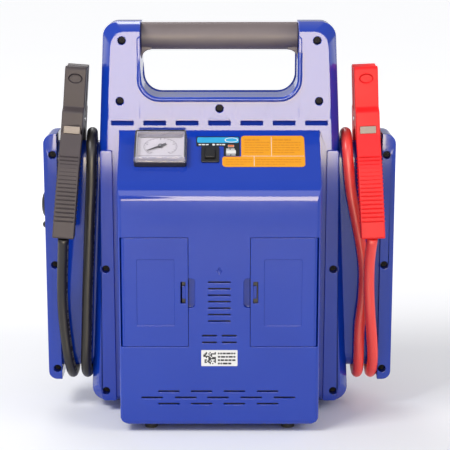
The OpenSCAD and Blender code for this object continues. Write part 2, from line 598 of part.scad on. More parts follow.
module black_front_lever() color("#5f5653") at_black() front_lever(black_clamp_w);
module black_rear_lever() color("#5f5653") at_black() rear_lever(black_clamp_w);
module black_front_jaw() color("#c98a4b") at_black() jaw();
module black_rear_jaw() color("#c98a4b") at_black() mirror([0, 1, 0]) jaw();
module black_pin() color("#c9ccd0") at_black() pivot_pin(black_clamp_w);
module black_spring() color("#9fa2a6") at_black() spring();
module black_strap() color("#d9dadc") at_black() strap();
module red_front_lever() color("#ff4045") at_red() front_lever(red_clamp_w);
module red_rear_lever() color("#ff4045") at_red() rear_lever(red_clamp_w);
module red_front_jaw() color("#c98a4b") at_red() jaw();
module red_rear_jaw() color("#c98a4b") at_red() mirror([0, 1, 0]) jaw();
module red_pin() color("#c9ccd0") at_red() pivot_pin(red_clamp_w);
module red_spring() color("#9fa2a6") at_red() spring();
module red_strap() color("#d9dadc") at_red() strap();

front_shell();
rear_shell();
handle_bar();
handle_grip();
housing_screws();
rubber_feet();
left_door();
right_door();
door_pins();
meter_case();
meter_cover();
meter_dial();
meter_needle();
meter_movement();
button_bezel();
test_button();
indicator_leds();
control_label();
instruction_label();
id_label();
front_battery();
rear_battery();
battery_terminals();
series_link();
main_fuse();
charger_board();
transformer();
foam_pads();
battery_divider();
charge_inlet();
power_socket();
socket_cap();
black_gland();
red_gland();
black_lead();
red_lead();
black_front_lever();
black_rear_lever();
black_front_jaw();
black_rear_jaw();
black_pin();
black_spring();
black_strap();
red_front_lever();
red_rear_lever();
red_front_jaw();
red_rear_jaw();
red_pin();
red_spring();
red_strap();
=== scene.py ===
import json
import math
import random

import bmesh
import bpy
from mathutils import Matrix, Vector

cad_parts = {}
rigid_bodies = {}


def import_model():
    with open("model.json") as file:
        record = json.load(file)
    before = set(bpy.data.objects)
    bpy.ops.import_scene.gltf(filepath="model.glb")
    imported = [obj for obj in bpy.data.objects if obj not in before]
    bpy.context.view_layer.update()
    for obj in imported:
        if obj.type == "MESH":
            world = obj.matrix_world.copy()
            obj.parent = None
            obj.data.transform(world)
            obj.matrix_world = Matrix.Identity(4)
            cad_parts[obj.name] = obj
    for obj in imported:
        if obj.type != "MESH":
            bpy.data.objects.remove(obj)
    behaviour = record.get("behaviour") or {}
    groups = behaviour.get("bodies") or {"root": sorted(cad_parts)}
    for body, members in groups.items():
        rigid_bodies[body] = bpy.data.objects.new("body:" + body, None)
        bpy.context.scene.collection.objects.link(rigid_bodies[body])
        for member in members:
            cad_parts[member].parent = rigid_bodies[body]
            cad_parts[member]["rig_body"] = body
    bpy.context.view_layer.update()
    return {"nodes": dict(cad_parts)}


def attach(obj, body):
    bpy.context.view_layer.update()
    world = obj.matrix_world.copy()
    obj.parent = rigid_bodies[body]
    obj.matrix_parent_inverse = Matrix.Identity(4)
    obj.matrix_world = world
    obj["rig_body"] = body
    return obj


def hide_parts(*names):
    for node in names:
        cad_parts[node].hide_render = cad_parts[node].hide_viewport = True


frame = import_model()
mm = 0.001
print("frame loaded:", len(frame["nodes"]), "nodes")

# long lens, a little above the pack
camera = {"lens": 116.0, "sensor": 36.0, "at": (0.0058, -1.5317, 0.5343), "target": (0.0058, -0.030, 0.2069)}
cameraData = bpy.data.cameras.new("camera")
cameraData.lens = camera["lens"]
cameraData.sensor_width = camera["sensor"]
cameraObject = bpy.data.objects.new("camera", cameraData)
bpy.context.scene.collection.objects.link(cameraObject)
cameraObject.location = camera["at"]
aim = Vector(camera["target"]) - Vector(camera["at"])
cameraObject.rotation_euler = aim.to_track_quat("-Z", "Y").to_euler()
bpy.context.scene.camera = cameraObject


def linear(hexColour):
    # sRGB hex to the linear values that shaders use
    parts = [int(hexColour[i:i + 2], 16) / 255 for i in (1, 3, 5)]
    return [c / 12.92 if c <= 0.04045 else ((c + 0.055) / 1.055) ** 2.4 for c in parts] + [1.0]


def fillSocket(tree, socket, value):
    if isinstance(value, bpy.types.NodeSocket):
        tree.links.new(value, socket)
    else:
        socket.default_value = value


def addNode(tree, kind, settings=None, **inputs):
    # adds a node, sets its properties, then sets or links its inputs, by name or as i0, i1 ...
    node = tree.nodes.new("ShaderNode" + kind)
    for key, value in (settings or {}).items():
        setattr(node, key, value)
    for key, value in inputs.items():
        numbered = key[0] == "i" and key[1:].isdigit()
        fillSocket(tree, node.inputs[int(key[1:]) if numbered else key.replace("_", " ")], value)
    return node


def newMaterial(name):
    material = bpy.data.materials.new(name)
    material.use_nodes = True
    tree = material.node_tree
    return material, tree, tree.nodes["Principled BSDF"]


def setShader(shader, tree, **values):
    for key, value in values.items():
        fillSocket(tree, shader.inputs[key.replace("_", " ")], value)


def sinkMarks(tree, place, sink, below):
    # faint upright sink marks over the ribs behind the frame's face, between its slots
    split = addNode(tree, "SeparateXYZ", Vector=place)
    cell = addNode(tree, "Math", settings={"operation": "MULTIPLY"},
                   i0=split.outputs["X"], i1=1 / (sink["pitchMm"] * mm))
    share = addNode(tree, "Math", settings={"operation": "FRACT"}, i0=cell.outputs[0])
    off = addNode(tree, "Math", settings={"operation": "SUBTRACT"}, i0=share.outputs[0], i1=0.5)
    gap = addNode(tree, "Math", settings={"operation": "ABSOLUTE"}, i0=off.outputs[0])
    line = addNode(tree, "MapRange", settings={"interpolation_type": "SMOOTHSTEP"}, Value=gap.outputs[0],
                   i1=0.0, i2=sink["halfMm"] / sink["pitchMm"], i3=1.0, i4=0.0)
    low = addNode(tree, "MapRange", Value=split.outputs["Z"],
                  i1=sink["fromZ"], i2=sink["fromZ"] + sink["lowFade"])
    high = addNode(tree, "MapRange", Value=split.outputs["Z"],
                   i1=sink["toZ"] - sink["highFade"], i2=sink["toZ"], i3=1.0, i4=0.0)
    band = addNode(tree, "Math", settings={"operation": "MULTIPLY"},
                   i0=low.outputs["Result"], i1=high.outputs["Result"])
    height = addNode(tree, "Math", settings={"operation": "MULTIPLY"},
                     i0=line.outputs["Result"], i1=band.outputs[0])
    return addNode(tree, "Bump", settings={"invert": True}, Height=height.outputs[0], Strength=1.0,
                   Distance=sink["deepMm"] * mm, Normal=below.outputs["Normal"])


def mouldedPlastic(name, look):
    # spark-eroded grain in the bump, a faint drift of colour, and dusty or rubbed roughness
    material, tree, shader = newMaterial(name)
    place = addNode(tree, "TexCoord").outputs["Object"]
    grain = addNode(tree, "TexNoise", Vector=place, Scale=1 / (look["grainMm"] * mm),
                    Detail=2.0, Roughness=0.6)
    drift = addNode(tree, "TexNoise", Vector=place, Scale=1 / (look["driftMm"] * mm), Detail=3.0)
    mixed = addNode(tree, "MixRGB", i0=drift.outputs["Fac"],
                    i1=linear(look["colour"]), i2=linear(look["second"]))
    rough = addNode(tree, "MapRange", Value=drift.outputs["Fac"], i1=0.3, i2=0.7,
                    i3=look["rough"] - look["roughDrift"], i4=look["rough"] + look["roughDrift"])
    bump = addNode(tree, "Bump", Height=grain.outputs["Fac"], Strength=look["bump"],
                   Distance=look["bumpMm"] * mm)
    if "sink" in look:
        bump = sinkMarks(tree, place, look["sink"], bump)
    setShader(shader, tree, Base_Color=mixed.outputs["Color"], Roughness=rough.outputs["Result"],
              Normal=bump.outputs["Normal"], IOR=look["ior"])
    return material


# ABS, injection moulded in a spark-eroded tool: a satin skin that mirrors broad lights softly.
# The real grain is about 0.1 mm; it is drawn at 0.5 mm so that it shows.
caseBlue = {"colour": "#0d37a8", "second": "#133fb2", "grainMm": 0.5, "driftMm": 60, "rough": 0.1,
            "roughDrift": 0.015, "bump": 0.1, "bumpMm": 0.03, "ior": 1.54,
            "sink": {"pitchMm": 33.8, "halfMm": 3.0, "fromZ": 0.319, "toZ": 0.341,
                     "lowFade": 0.003, "highFade": 0.01, "deepMm": 0.12}}
absBlue = mouldedPlastic("mouldedAbsBlue", caseBlue)
# the same ABS behind the slots, in a darker blue that is painted shade, drawn matt so that no reflection
# lights it
absBluePaintedShade = mouldedPlastic("mouldedAbsBluePaintedShade", {
    "colour": "#0b2f96", "second": "#0f369e", "grainMm": 0.8, "driftMm": 40, "rough": 0.85,
    "roughDrift": 0.03, "bump": 0.2, "bumpMm": 0.05, "ior": 1.2})
# thermoplastic rubber, moulded: matt and a little dusty
gripRubber = mouldedPlastic("mouldedGripRubber", {
    "colour": "#6e6261", "second": "#796d6c", "grainMm": 0.6, "driftMm": 25, "rough": 0.52,
    "roughDrift": 0.05, "bump": 0.25, "bumpMm": 0.08, "ior": 1.5})
# polypropylene with a fine texture, moulded: the clamp covers
clampBlack = mouldedPlastic("mouldedPolypropyleneBlack", {
    "colour": "#453d3e", "second": "#504748", "grainMm": 0.5, "driftMm": 20, "rough": 0.5,
    "roughDrift": 0.04, "bump": 0.15, "bumpMm": 0.06, "ior": 1.36})
clampRed = mouldedPlastic("mouldedPolypropyleneRed", {
    "colour": "#f8181f", "second": "#ff2222", "grainMm": 0.5, "driftMm": 20, "rough": 0.5,
    "roughDrift": 0.04, "bump": 0.12, "bumpMm": 0.06, "ior": 1.34})
# glossy black ABS: meter base, bezel and sockets
absBlack = mouldedPlastic("mouldedAbsBlack", {
    "colour": "#18181a", "second": "#202024", "grainMm": 0.4, "driftMm": 15, "rough": 0.3,
    "roughDrift": 0.03, "bump": 0.08, "bumpMm": 0.04, "ior": 1.54})
nylonBlack = mouldedPlastic("mouldedNylonBlack", {
    "colour": "#141415", "second": "#1d1d1f", "grainMm": 0.5, "driftMm": 12, "rough": 0.4,
    "roughDrift": 0.04, "bump": 0.12, "bumpMm": 0.05, "ior": 1.53})
footRubber = mouldedPlastic("mouldedFootRubber", {
    "colour": "#1b1a1a", "second": "#262424", "grainMm": 0.8, "driftMm": 8, "rough": 0.75,
    "roughDrift": 0.05, "bump": 0.3, "bumpMm": 0.1, "ior": 1.5})
batteryAbs = mouldedPlastic("mouldedBatteryCase", {
    "colour": "#26282b", "second": "#303236", "grainMm": 1.0, "driftMm": 40, "rough": 0.5,
    "roughDrift": 0.05, "bump": 0.2, "bumpMm": 0.08, "ior": 1.54})
dividerAbs = mouldedPlastic("mouldedDividerAbs", {
    "colour": "#c9c6bd", "second": "#d8d6cf", "grainMm": 1.0, "driftMm": 40, "rough": 0.5,
    "roughDrift": 0.04, "bump": 0.15, "bumpMm": 0.06, "ior": 1.54})
foamGrey = mouldedPlastic("cutFoamGrey", {
    "colour": "#3a3a3d", "second": "#4a4a4e", "grainMm": 1.2, "driftMm": 12, "rough": 0.95,
    "roughDrift": 0.03, "bump": 0.8, "bumpMm": 0.5, "ior": 1.4})
fuseRed = mouldedPlastic("mouldedFuseRed", {
    "colour": "#b8321f", "second": "#c8442c", "grainMm": 0.6, "driftMm": 10, "rough": 0.35,
    "roughDrift": 0.03, "bump": 0.1, "bumpMm": 0.04, "ior": 1.5})
laminateGreen = mouldedPlastic("glassFibreLaminate", {
    "colour": "#235a2f", "second": "#2f6b3c", "grainMm": 0.8, "driftMm": 6, "rough": 0.4,
    "roughDrift": 0.04, "bump": 0.2, "bumpMm": 0.05, "ior": 1.55})


def metal(name, look):
    # a metal with fine directional scratches; keeps the default IOR
    material, tree, shader = newMaterial(name)
    place = addNode(tree, "TexCoord").outputs["Object"]
    stretch = addNode(tree, "Mapping", Vector=place, Scale=look["stretch"])
    scratch = addNode(tree, "TexNoise", Vector=stretch.outputs["Vector"],
                      Scale=1 / (look["scratchMm"] * mm), Detail=4.0)
    rough = addNode(tree, "MapRange", Value=scratch.outputs["Fac"], i1=0.3, i2=0.7,
                    i3=look["rough"] - 0.08, i4=look["rough"] + 0.08)
    tone = addNode(tree, "MixRGB", i0=scratch.outputs["Fac"],
                   i1=linear(look["colour"]), i2=linear(look["second"]))
    bump = addNode(tree, "Bump", Height=scratch.outputs["Fac"], Strength=0.15, Distance=0.03 * mm)
    setShader(shader, tree, Base_Color=tone.outputs["Color"], Roughness=rough.outputs["Result"],
              Normal=bump.outputs["Normal"], Metallic=1.0)
    return material


zincSteel = metal("zincPlatedSteel", {"colour": "#a9adb2", "second": "#c9ccd0", "rough": 0.3,
                                      "stretch": (1, 1, 1), "scratchMm": 0.8})
copperSheet = metal("copperPlatedSteel", {"colour": "#b9713c", "second": "#d49a63", "rough": 0.32,
                                          "stretch": (1, 1, 4), "scratchMm": 0.8})
leadAlloy = metal("castLeadAlloy", {"colour": "#8d8a86", "second": "#a9a5a0", "rough": 0.55,
                                    "stretch": (1, 1, 1), "scratchMm": 1.5})
windingBrown = metal("varnishedWinding", {"colour": "#6d4a2e", "second": "#8a6340", "rough": 0.4,
                                          "stretch": (1, 1, 8), "scratchMm": 0.8})
strapSteel = metal("rolledSteelStrap", {"colour": "#77716e", "second": "#9a938f", "rough": 0.6,
                                        "stretch": (1, 1, 6), "scratchMm": 1.2})
# screw heads: steel painted near black as the shade in their deep wells, with a small glint left
screwSteelPaintedShade = metal("nearBlackSteelPaintedShade", {"colour": "#101013", "second": "#1e1e22", "rough": 0.4,
                                       "stretch": (1, 1, 1), "scratchMm": 0.8})
print("plain materials made")


# shared by both jackets: scuffs in mm, draw lines round and along, and the share of each that is print
jacketFinish = {"scuffMm": 18, "draw": (60.0, 0.6, 1.0), "drawMm": 0.1, "dashShare": 0.62,
                "blankShare": 0.28, "printHalf": 0.032}


def jacket(name, look):
    # extruded PVC: satin, with a slight lengthwise draw and faint broken dashes of print down one side
    material, tree, shader = newMaterial(name)
    uv = addNode(tree, "UVMap", settings={"uv_map": "jacket"}).outputs["UV"]
    split = addNode(tree, "SeparateXYZ", Vector=uv)
    place = addNode(tree, "TexCoord").outputs["Object"]
    scuff = addNode(tree, "TexNoise", Vector=place, Scale=1 / (jacketFinish["scuffMm"] * mm), Detail=4.0)
    drawn = addNode(tree, "Mapping", Vector=uv, Scale=jacketFinish["draw"])
    lines = addNode(tree, "TexNoise", Vector=drawn.outputs["Vector"], Scale=1.0, Detail=3.0)
    tone = addNode(tree, "MixRGB", i0=scuff.outputs["Fac"],
                   i1=linear(look["colour"]), i2=linear(look["second"]))
    # print: dashes of one pitch with some left out, in a narrow band along the jacket
    along = addNode(tree, "Math", settings={"operation": "MULTIPLY"},
                    i0=split.outputs["Y"], i1=1 / look["dashMm"])
    whole = addNode(tree, "Math", settings={"operation": "FLOOR"}, i0=along.outputs[0])
    cell = addNode(tree, "TexWhiteNoise", settings={"noise_dimensions": "1D"}, W=whole.outputs[0])
    share = addNode(tree, "Math", settings={"operation": "FRACT"}, i0=along.outputs[0])
    inside = addNode(tree, "Math", settings={"operation": "LESS_THAN"},
                     i0=share.outputs[0], i1=jacketFinish["dashShare"])
    lit = addNode(tree, "Math", settings={"operation": "GREATER_THAN"},
                  i0=cell.outputs["Value"], i1=jacketFinish["blankShare"])
    aside = addNode(tree, "Math", settings={"operation": "SUBTRACT"},
                    i0=split.outputs["X"], i1=look["printAt"])
    off = addNode(tree, "Math", settings={"operation": "ABSOLUTE"}, i0=aside.outputs[0])
    band = addNode(tree, "Math", settings={"operation": "LESS_THAN"},
                   i0=off.outputs[0], i1=jacketFinish["printHalf"])
    first = addNode(tree, "Math", settings={"operation": "MULTIPLY"}, i0=inside.outputs[0], i1=lit.outputs[0])
    mask = addNode(tree, "Math", settings={"operation": "MULTIPLY"}, i0=first.outputs[0], i1=band.outputs[0])
    worn = addNode(tree, "Math", settings={"operation": "MULTIPLY"}, i0=mask.outputs[0], i1=look["printShow"])
    final = addNode(tree, "MixRGB", i0=worn.outputs[0], i1=tone.outputs["Color"], i2=linear(look["print"]))
    rough = addNode(tree, "MapRange", Value=scuff.outputs["Fac"], i1=0.3, i2=0.7,
                    i3=look["rough"] - 0.05, i4=look["rough"] + 0.07)
    bump = addNode(tree, "Bump", Height=lines.outputs["Fac"], Strength=0.2,
                   Distance=jacketFinish["drawMm"] * mm)
    setShader(shader, tree, Base_Color=final.outputs["Color"], Roughness=rough.outputs["Result"],
              Normal=bump.outputs["Normal"], IOR=1.53)
    return material


blackJacket = jacket("extrudedPvcBlack", {
    "colour": "#1a1512", "second": "#241e1a", "rough": 0.38, "dashMm": 2.6,
    "printAt": 0.5, "print": "#b9b5b0", "printShow": 0.5})
redJacket = jacket("extrudedPvcRed", {
    "colour": "#ff4038", "second": "#ff4c42", "rough": 0.36, "dashMm": 2.6,
    "printAt": 0.5, "print": "#f4b8a8", "printShow": 0.35})


# The leads' routes in metres, from the gland round the wing and into the clamp's handle
blackRoute = [
    (-0.118, 0.052, 0.112), (-0.126, 0.052, 0.110), (-0.134, 0.050, 0.103), (-0.140, 0.046, 0.092),
    (-0.143, 0.040, 0.079), (-0.145, 0.033, 0.068), (-0.145, 0.027, 0.058), (-0.145, 0.020, 0.045),
    (-0.145, 0.008, 0.037), (-0.145, -0.008, 0.037), (-0.145, -0.021, 0.046), (-0.1445, -0.027, 0.062),
    (-0.143, -0.027, 0.095), (-0.1415, -0.027, 0.135), (-0.1395, -0.027, 0.175), (-0.1375, -0.027, 0.215),
    (-0.1355, -0.027, 0.248), (-0.1345, -0.027, 0.274), (-0.1345, -0.022, 0.290), (-0.135, -0.0085, 0.300),
    (-0.136, 0.0085, 0.300), (-0.137, 0.022, 0.290), (-0.138, 0.027, 0.274), (-0.140, 0.027, 0.240),
    (-0.144, 0.027, 0.200), (-0.150, 0.027, 0.160), (-0.156, 0.027, 0.120), (-0.159, 0.027, 0.088),
    (-0.160, 0.027, 0.062), (-0.1605, 0.021, 0.046), (-0.161, 0.008, 0.037), (-0.161, -0.008, 0.037),
    (-0.1615, -0.021, 0.046), (-0.1635, -0.028, 0.062), (-0.1665, -0.029, 0.090), (-0.168, -0.031, 0.120),
    (-0.167, -0.037, 0.150), (-0.165, -0.045, 0.176), (-0.1632, -0.053, 0.198)]
redRoute = [
    (0.118, 0.052, 0.112), (0.126, 0.052, 0.110), (0.134, 0.050, 0.103), (0.141, 0.046, 0.092),
    (0.146, 0.040, 0.079), (0.149, 0.033, 0.068), (0.150, 0.027, 0.058), (0.1505, 0.020, 0.045),
    (0.1505, 0.008, 0.037), (0.1505, -0.008, 0.037), (0.1505, -0.021, 0.046), (0.1505, -0.027, 0.062),
    (0.151, -0.027, 0.095), (0.154, -0.027, 0.125), (0.1545, -0.027, 0.155), (0.151, -0.027, 0.183),
    (0.145, -0.027, 0.212), (0.139, -0.027, 0.243), (0.1355, -0.027, 0.274), (0.1345, -0.022, 0.290),
    (0.1345, -0.0085, 0.300), (0.1345, 0.0085, 0.300), (0.1345, 0.022, 0.290), (0.1345, 0.027, 0.274),
    (0.136, 0.027, 0.240), (0.139, 0.027, 0.205), (0.146, 0.027, 0.165), (0.155, 0.027, 0.125),
    (0.162, 0.027, 0.092), (0.1646, 0.027, 0.062), (0.1655, 0.021, 0.046), (0.1655, 0.008, 0.037),
    (0.1655, -0.008, 0.037), (0.1655, -0.021, 0.046), (0.1655, -0.029, 0.062), (0.1635, -0.035, 0.085),
    (0.1605, -0.040, 0.112), (0.1585, -0.041, 0.145), (0.1585, -0.044, 0.172), (0.160, -0.053, 0.198)]
lead = {"diameter": 0.0115, "sides": 24, "stepsPerPoint": 5}


def smoothRoute(points, steps):
    # Catmull-Rom through the points, with the ends carried straight on
    pts = [Vector(p) for p in points]
    pts = [pts[0] * 2 - pts[1]] + pts + [pts[-1] * 2 - pts[-2]]
    line = []
    for a, b, c, d in zip(pts, pts[1:], pts[2:], pts[3:]):
        for i in range(steps):
            t = i / steps
            line.append(0.5 * (2 * b + (c - a) * t + (2 * a - 5 * b + 4 * c - d) * t * t
                               + (3 * b - 3 * c + d - a) * t ** 3))
    return line + [pts[-2]]


def makeObject(name, mesh, material):
    obj = bpy.data.objects.new(name, mesh)
    bpy.context.scene.collection.objects.link(obj)
    mesh.materials.append(material)
    return obj


def tubeMesh(name, line, radius, sides):
    # a tube along a line, with its rings kept from twisting, and lengths in mm in its UV map
    bm = bmesh.new()
    uvLayer = bm.loops.layers.uv.new("jacket")
    side, rings, lengths = Vector((0, 0, 1)), [], [0.0]
    for i, point in enumerate(line):
        way = (line[min(i + 1, len(line) - 1)] - line[max(i - 1, 0)]).normalized()
        side = (side - side.dot(way) * way).normalized()
        other = way.cross(side)
        rings.append([bm.verts.new(point + radius * (math.cos(a) * side + math.sin(a) * other))
                      for a in (2 * math.pi * k / sides for k in range(sides))])
        if i:
            lengths.append(lengths[-1] + (point - line[i - 1]).length * 1000)
    for i in range(len(rings) - 1):
        for k in range(sides):
            j = (k + 1) % sides
            face = bm.faces.new((rings[i][k], rings[i][j], rings[i + 1][j], rings[i + 1][k]))
            for loop, (u, v) in zip(face.loops, ((k, i), (k + 1, i), (k + 1, i + 1), (k, i + 1))):
                loop[uvLayer].uv = (u / sides, lengths[v])
            face.smooth = True
    bm.faces.new(list(reversed(rings[0])))
    bm.faces.new(rings[-1])
    mesh = bpy.data.meshes.new(name)
    bm.to_mesh(mesh)
    bm.free()
    return mesh, lengths[-1] * mm


def makeLead(name, route, material):
    line = smoothRoute(route, lead["stepsPerPoint"])
    mesh, length = tubeMesh(name, line, lead["diameter"] / 2, lead["sides"])
    return makeObject(name, mesh, material), line, length


blackLead, blackLine, blackLength = makeLead("blackLead", blackRoute, blackJacket)
redLead, redLine, redLength = makeLead("redLead", redRoute, redJacket)
print("leads made:", round(blackLength, 3), round(redLength, 3), "m")


def applyModifiers(obj):
    graph = bpy.context.evaluated_depsgraph_get()
    baked = bpy.data.meshes.new_from_object(obj.evaluated_get(graph))
    obj.modifiers.clear()
    obj.data = baked


def finishMesh(obj, angle=50):
    # smooth shading, broken only at real corners; large faces rule the normals, so flats stay flat
    for polygon in obj.data.polygons:
        polygon.use_smooth = True
    obj.data.set_sharp_from_angle(angle=math.radians(angle))
    weighted = obj.modifiers.new("weighted", "WEIGHTED_NORMAL")
    weighted.keep_sharp = True
    weighted.weight = 80
    applyModifiers(obj)


def easedCopy(node, material, edgeMm, segments=2, angle=38, dissolve=True):
    # the CAD node's own shape, cleaned of its triangles, with every corner eased as a moulding has it
    mesh = frame["nodes"][node].data.copy()
    if "custom_normal" in mesh.attributes:
        mesh.attributes.remove(mesh.attributes["custom_normal"])
    bm = bmesh.new()
    bm.from_mesh(mesh)
    bmesh.ops.remove_doubles(bm, verts=bm.verts, dist=0.005 * mm)
    if dissolve:
        bmesh.ops.dissolve_limit(bm, angle_limit=math.radians(0.6), verts=bm.verts, edges=bm.edges)
    else:
        bmesh.ops.join_triangles(bm, faces=bm.faces, angle_face_threshold=math.radians(0.6),
                                 angle_shape_threshold=math.radians(180))
    bm.to_mesh(mesh)
    bm.free()
    mesh.materials.clear()
    obj = makeObject(node + "_eased", mesh, material)
    bevel = obj.modifiers.new("edge", "BEVEL")
    bevel.width = edgeMm * mm
    bevel.segments = segments
    bevel.limit_method = "ANGLE"
    bevel.angle_limit = math.radians(angle)
    bevel.use_clamp_overlap = False
    bevel.miter_outer = "MITER_ARC"
    applyModifiers(obj)
    finishMesh(obj)
    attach(obj, frame["nodes"][node]["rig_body"])
    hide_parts(node)
    return obj


def dress(node, material):
    # a CAD node that keeps its shape and gets its finish
    obj = frame["nodes"][node]
    obj.data.materials.clear()
    obj.data.materials.append(material)


easedNodes = {
    "front_shell": (absBlue, 0.5), "rear_shell": (absBlue, 0.5), "left_door": (absBlue, 0.35),
    "right_door": (absBlue, 0.35), "handle_grip": (gripRubber, 0.8), "rubber_feet": (footRubber, 0.6),
    "meter_case": (absBlack, 0.4), "button_bezel": (absBlack, 0.35), "test_button": (nylonBlack, 0.5),
    "power_socket": (nylonBlack, 0.4), "socket_cap": (nylonBlack, 0.5), "charge_inlet": (nylonBlack, 0.4),
    "black_gland": (nylonBlack, 0.5), "red_gland": (nylonBlack, 0.5)}
for node, (material, edgeMm) in easedNodes.items():
    easedCopy(node, material, edgeMm, dissolve=node not in ("front_shell", "rear_shell"))
for node, material in {
        "handle_bar": nylonBlack, "housing_screws": screwSteelPaintedShade, "door_pins": zincSteel,
        "meter_movement": zincSteel, "front_battery": batteryAbs, "rear_battery": batteryAbs,
        "battery_terminals": leadAlloy, "series_link": copperSheet, "main_fuse": fuseRed,
        "charger_board": laminateGreen, "transformer": windingBrown, "foam_pads": foamGrey,
        "battery_divider": dividerAbs, "black_pin": zincSteel, "red_pin": zincSteel,
        "black_strap": strapSteel, "red_strap": strapSteel, "black_front_jaw": copperSheet,
        "black_rear_jaw": copperSheet, "red_front_jaw": copperSheet, "red_rear_jaw": copperSheet,
        "black_spring": zincSteel, "red_spring": zincSteel}.items():
    dress(node, material)
print("CAD nodes dressed")

# the sloping panel's own axes: across, up the slope and off the panel
panel = Matrix.Translation((0, -0.030, 0.308)) @ Matrix.Rotation(math.radians(36), 4, "X")
# clear styrene, moulded: glossy, with faint waviness
clearStyrene, clearTree, clearShader = newMaterial("mouldedClearStyrene")
clearPlace = addNode(clearTree, "TexCoord").outputs["Object"]
clearWave = addNode(clearTree, "TexNoise", Vector=clearPlace, Scale=1 / (9 * mm), Detail=1.0)
clearBump = addNode(clearTree, "Bump", Height=clearWave.outputs["Fac"], Strength=0.08, Distance=0.2 * mm)
clearRough = addNode(clearTree, "MapRange", Value=clearWave.outputs["Fac"], i3=0.02, i4=0.07)
setShader(clearShader, clearTree, Base_Color=linear("#f6f6fa"), Transmission_Weight=1.0, IOR=1.59,
          Roughness=clearRough.outputs["Result"], Normal=clearBump.outputs["Normal"])


def film(name, look):
    # printed film or card: smooth, faintly mottled
    material, tree, shader = newMaterial(name)
    place = addNode(tree, "TexCoord").outputs["Object"]
    mottle = addNode(tree, "TexNoise", Vector=place, Scale=1 / (look["mottleMm"] * mm), Detail=2.0)
    tone = addNode(tree, "MixRGB", i0=mottle.outputs["Fac"],
                   i1=linear(look["colour"]), i2=linear(look["second"]))
    rough = addNode(tree, "MapRange", Value=mottle.outputs["Fac"],
                    i3=look["rough"] - 0.04, i4=look["rough"] + 0.04)
    setShader(shader, tree, Base_Color=tone.outputs["Color"], Roughness=rough.outputs["Result"], IOR=1.49)
    return material


# printed films and cards; each is satin, and pale ones stay a little grey under the lights
filmYellow, filmOrange, filmDark, filmCyan, filmWhite, inkGrey, inkPale, cardWhite = [
    film(name, {"colour": colour, "second": second, "mottleMm": mottleMm, "rough": rough})
    for name, colour, second, mottleMm, rough in (
        ("printedFilmYellow", "#f09c00", "#f4a604", 12, 0.55),
        ("printedInkOrange", "#dd8a08", "#e4940c", 6, 0.35),
        ("printedFilmBlack", "#17191c", "#22262a", 10, 0.3),
        ("printedInkCyan", "#2aa6da", "#3fb8e6", 8, 0.35),
        ("printedFilmWhite", "#eceae6", "#f7f6f3", 10, 0.35),
        ("printedInkGrey", "#3a383c", "#464448", 4, 0.5),
        ("printedInkPale", "#6a666c", "#767278", 4, 0.5),
        ("printedCardWhite", "#b7b2b7", "#c0bbc0", 8, 0.55))]


def roundedRect(x0, y0, x1, y1, r, steps=5):
    corners = [(x1 - r, y0 + r, -90), (x1 - r, y1 - r, 0), (x0 + r, y1 - r, 90), (x0 + r, y0 + r, 180)]
    turns = [(cx, cy, math.radians(a + 90 * i / steps)) for cx, cy, a in corners for i in range(steps + 1)]
    return [(cx + r * math.cos(a), cy + r * math.sin(a)) for cx, cy, a in turns]


def ovalOutline(cx, cy, rx, ry, step):
    turns = [math.radians(a) for a in range(0, 360, step)]
    return [(cx + rx * math.cos(a), cy + ry * math.sin(a)) for a in turns]


def printed(name, outlines, height, thick, material, place=panel):
    # flat inked shapes as one thin piece: outlines in mm, lifted height mm off the surface
    bm = bmesh.new()
    for outline in outlines:
        low = [bm.verts.new(Vector((x, y, height)) * mm) for x, y in outline]
        high = [bm.verts.new(Vector((x, y, height + thick)) * mm) for x, y in outline]
        bm.faces.new(list(reversed(low)))
        bm.faces.new(high)
        for i in range(len(low)):
            j = (i + 1) % len(low)
            bm.faces.new((low[i], low[j], high[j], high[i]))
    bmesh.ops.recalc_face_normals(bm, faces=bm.faces)
    mesh = bpy.data.meshes.new(name)
    bm.to_mesh(mesh)
    bm.free()
    mesh.transform(place)
    obj = makeObject(name, mesh, material)
    finishMesh(obj)
    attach(obj, "case")


def ringBand(cx, cy, r0, r1, a0, a1, steps=24):
    angles = [math.radians(a0 + (a1 - a0) * i / steps) for i in range(steps + 1)]
    return ([(cx + r1 * math.cos(a), cy + r1 * math.sin(a)) for a in angles]
            + [(cx + r0 * math.cos(a), cy + r0 * math.sin(a)) for a in reversed(angles)])


# the meter on the panel, in mm: its sides, needle pivot, dial face and oval scale with long and short marks
meter = {"u": (-87.5, -33.5), "v": (-53, -11), "needle": (-60.5, -31), "dialTop": 6.5, "scaleR": 12.5,
         "stretch": 1.35, "from": 232, "to": -52, "marks": 21, "longEvery": 5,
         "long": (2.6, 0.42), "short": (1.4, 0.26), "lineWide": 0.35, "inkThick": 0.08, "steps": 40}
cu, cv = meter["needle"]
scaleR = meter["scaleR"]
stretch = meter["stretch"]
dress("meter_dial", cardWhite)
dress("meter_needle", inkGrey)
# the window casts no shadow, so that the dial behind it stays as bright as it does behind real styrene
meterWindow = easedCopy("meter_cover", clearStyrene, 0.6, segments=3)
meterWindow.visible_shadow = False
meterWindow.visible_glossy = False
marks = []
for i in range(meter["marks"]):
    a = math.radians(meter["from"] + (meter["to"] - meter["from"]) * i / (meter["marks"] - 1))
    reach, w = meter["long" if i % meter["longEvery"] == 0 else "short"]
    r0 = scaleR - reach
    side = Vector((-math.sin(a), math.cos(a))) * w
    p0 = Vector((cu + stretch * r0 * math.cos(a), cv + r0 * math.sin(a)))
    p1 = Vector((cu + stretch * scaleR * math.cos(a), cv + scaleR * math.sin(a)))
    marks.append([tuple(p0 - side), tuple(p1 - side), tuple(p1 + side), tuple(p0 + side)])
marks.append([(cu + (x - cu) * stretch, y) for x, y in ringBand(
    cu, cv, scaleR, scaleR + meter["lineWide"], meter["to"], meter["from"], meter["steps"])])
printed("dialMarks", marks, meter["dialTop"], meter["inkThick"], inkPale)


